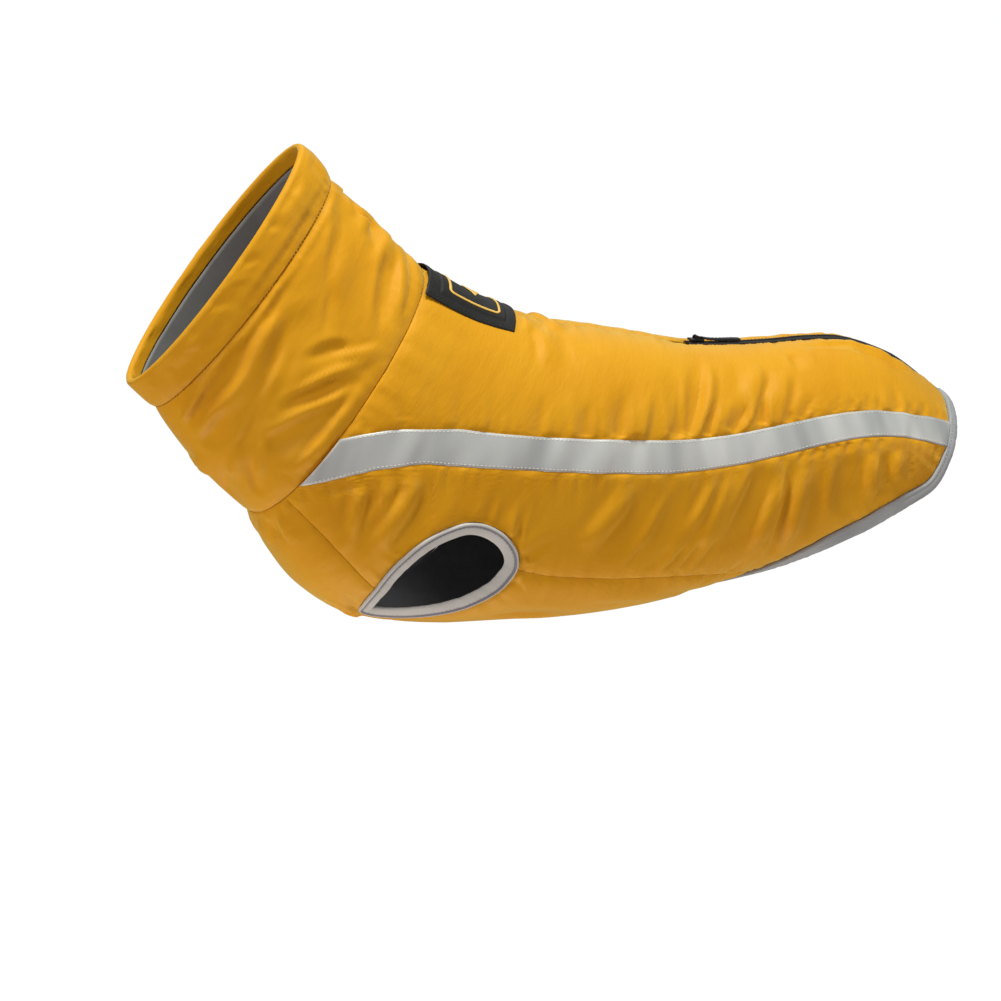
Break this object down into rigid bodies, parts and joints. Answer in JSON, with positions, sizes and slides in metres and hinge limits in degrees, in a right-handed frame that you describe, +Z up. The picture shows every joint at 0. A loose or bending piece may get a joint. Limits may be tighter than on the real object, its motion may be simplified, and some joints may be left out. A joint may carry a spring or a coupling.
{
  "type": "dog raincoat",
  "caption": "Padded waterproof dog coat in its worn shape, with a stand collar, bound armholes and hem, side reflective tape, a closed back zip and a moulded badge.",
  "frame": {"origin": "inner face of the centre back over the shoulders, where the wearer's back carries the coat", "axes": "+Z up, +X from head end to tail end, -Y the wearer's left side"},
  "size_m": [0.655, 0.1876, 0.3692],
  "materials": {
    "yellow_cloth": "woven polyester, water repellent, soft sheen",
    "grey_lining": "plain lining cloth",
    "reflective_tape": "silver reflective tape",
    "pale_binding": "elastic binding",
    "grey_binding": "folded binding",
    "zip_cloth": "woven zip tape",
    "zip_coil": "nylon coil",
    "slider_metal": "black paint, semi gloss",
    "black_rubber": "matt moulded",
    "gilt": "gold print"
  },
  "bodies": {
    "coat": {"collar_casing": "yellow_cloth", "collar": "yellow_cloth", "side_left": "yellow_cloth", "side_right": "yellow_cloth", "chest": "yellow_cloth", "lining_collar": "grey_lining", "lining_left": "grey_lining", "lining_right": "grey_lining", "lining_chest": "grey_lining", "tape_left": "reflective_tape", "tape_right": "reflective_tape", "armhole_binding_left": "pale_binding", "armhole_binding_right": "pale_binding", "hem_binding": "grey_binding", "zip_tape_left": "zip_cloth", "zip_tape_right": "zip_cloth", "zip_chain": "zip_coil", "zip_slider": "slider_metal", "patch_base": "black_rubber", "patch_frame": "gilt", "patch_motif": "gilt"},
    "pull": {"zip_pull": "black_rubber"}
  },
  "joints": [
    {"name": "pull_turn", "type": "hinge", "parent": "coat", "child": "pull", "pos_m": [0.17649, 0, -0.03725], "axis": [0, -1, 0], "range_deg": [0, 150]}
  ]
}
